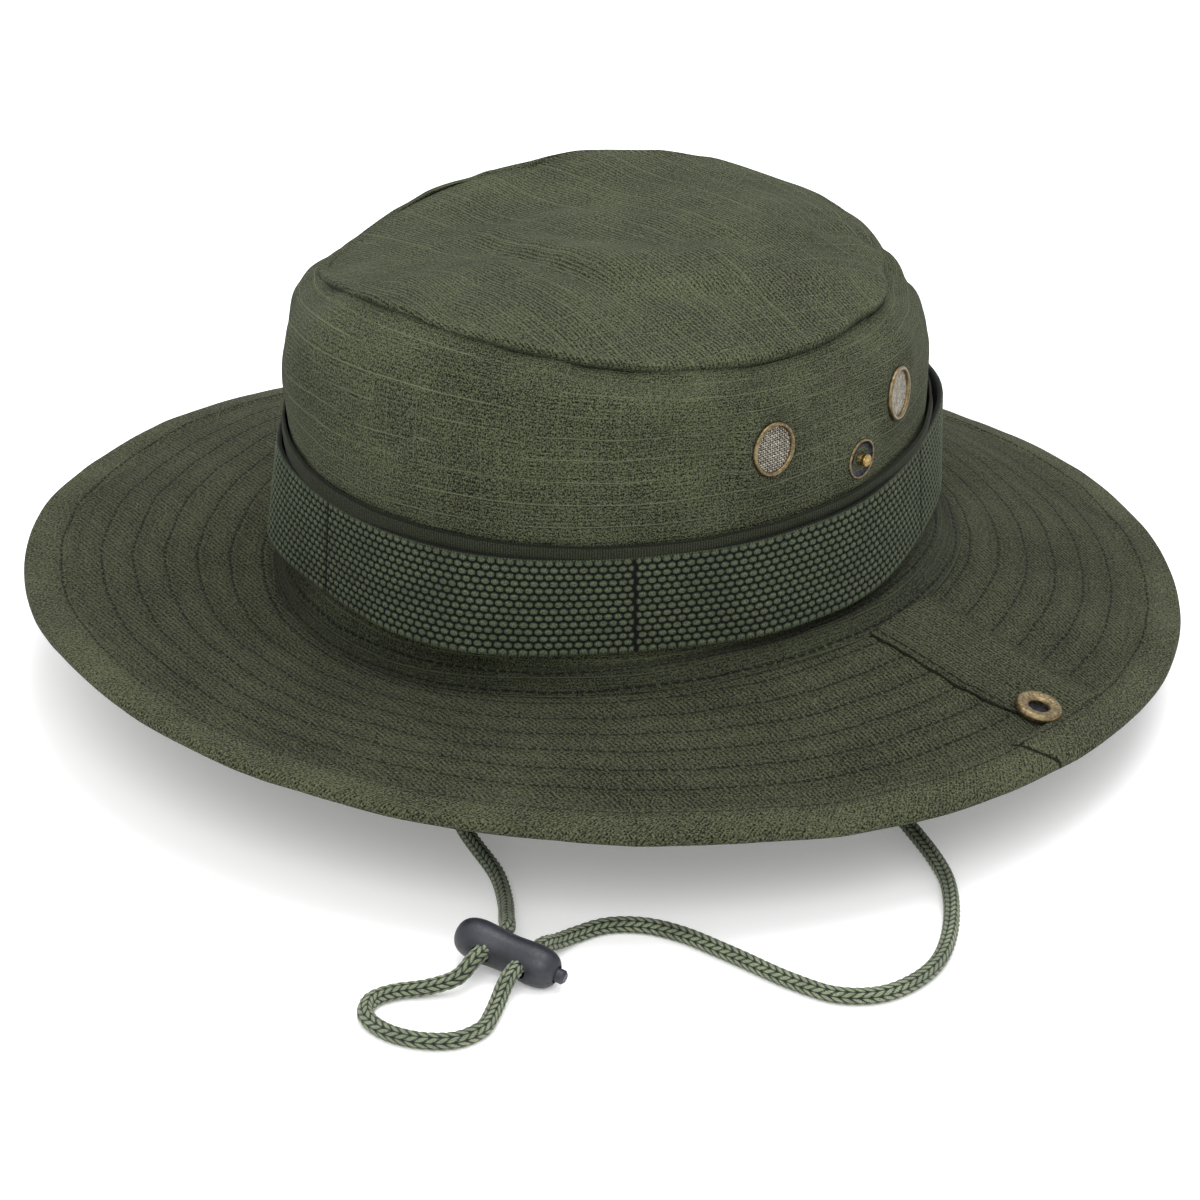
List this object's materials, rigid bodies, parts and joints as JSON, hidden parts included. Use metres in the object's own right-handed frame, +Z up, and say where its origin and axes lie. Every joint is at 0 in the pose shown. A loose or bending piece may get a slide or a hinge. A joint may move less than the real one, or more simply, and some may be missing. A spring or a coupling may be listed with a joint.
{
  "type": "boonie hat",
  "caption": "Soft round-crowned sun hat with a stitched brim whose side folds up to a snap, a webbing band, screened vents and a chin cord with a toggle.",
  "frame": {"origin": "centre of the head opening, level with the seam between crown and brim", "axes": "+Z up the crown, -Y the front of the hat, +X the wearer's left, the side with the snap"},
  "size_m": [0.3236, 0.3518, 0.1301],
  "materials": {
    "crown_cloth": "plain-weave cotton cloth with fine slubs",
    "brim_cloth": "stitched plain-weave cotton cloth",
    "binding": "bias-cut cotton binding",
    "sweatband": "smooth lining cloth",
    "stiffener": "felted stiffener",
    "webbing": "coarse woven webbing",
    "tape": "flat woven tape",
    "brass": "antiqued brass",
    "dark_metal": "blackened brass",
    "wire": "plain wire cloth",
    "cord": "knitted cord",
    "toggle": "moulded plastic",
    "spring": "plain spring wire"
  },
  "bodies": {
    "hat": {"crown_top": "crown_cloth", "crown_side": "crown_cloth", "sweatband": "sweatband", "webbing_band": "webbing", "band_tape": "tape", "brim_upper": "brim_cloth", "brim_stiffener": "stiffener", "brim_lower": "brim_cloth", "brim_binding": "binding", "snap_stud": "dark_metal", "snap_stud_back": "brass", "vent_ring_1": "brass", "vent_mesh_1": "wire", "vent_washer_1": "brass", "vent_ring_2": "brass", "vent_mesh_2": "wire", "vent_washer_2": "brass", "vent_ring_3": "brass", "vent_mesh_3": "wire", "vent_washer_3": "brass", "vent_ring_4": "brass", "vent_mesh_4": "wire", "vent_washer_4": "brass", "cord_anchor_right": "tape", "cord_anchor_left": "tape", "chin_cord_right": "cord", "chin_cord_loop": "cord", "chin_cord_left": "cord", "toggle_body": "toggle", "toggle_spring": "spring"},
    "flap": {"brim_upper_flap": "brim_cloth", "brim_stiffener_flap": "stiffener", "brim_lower_flap": "brim_cloth", "brim_binding_flap": "binding", "snap_patch": "brim_cloth", "snap_socket": "brass", "snap_cap": "brass"},
    "button": {"toggle_plunger": "toggle"}
  },
  "joints": [
    {"name": "flap_fold", "type": "hinge", "parent": "hat", "child": "flap", "pos_m": [0.0963, 0, 0.0008], "axis": [0, -1, 0], "range_deg": [0, 109]},
    {"name": "button_press", "type": "slide", "parent": "hat", "child": "button", "axis": [-0.9744, -0.1538, 0.1641], "range_m": [0, 0.0016], "stiffness_N_per_m": 300, "springref_m": -0.002}
  ]
}
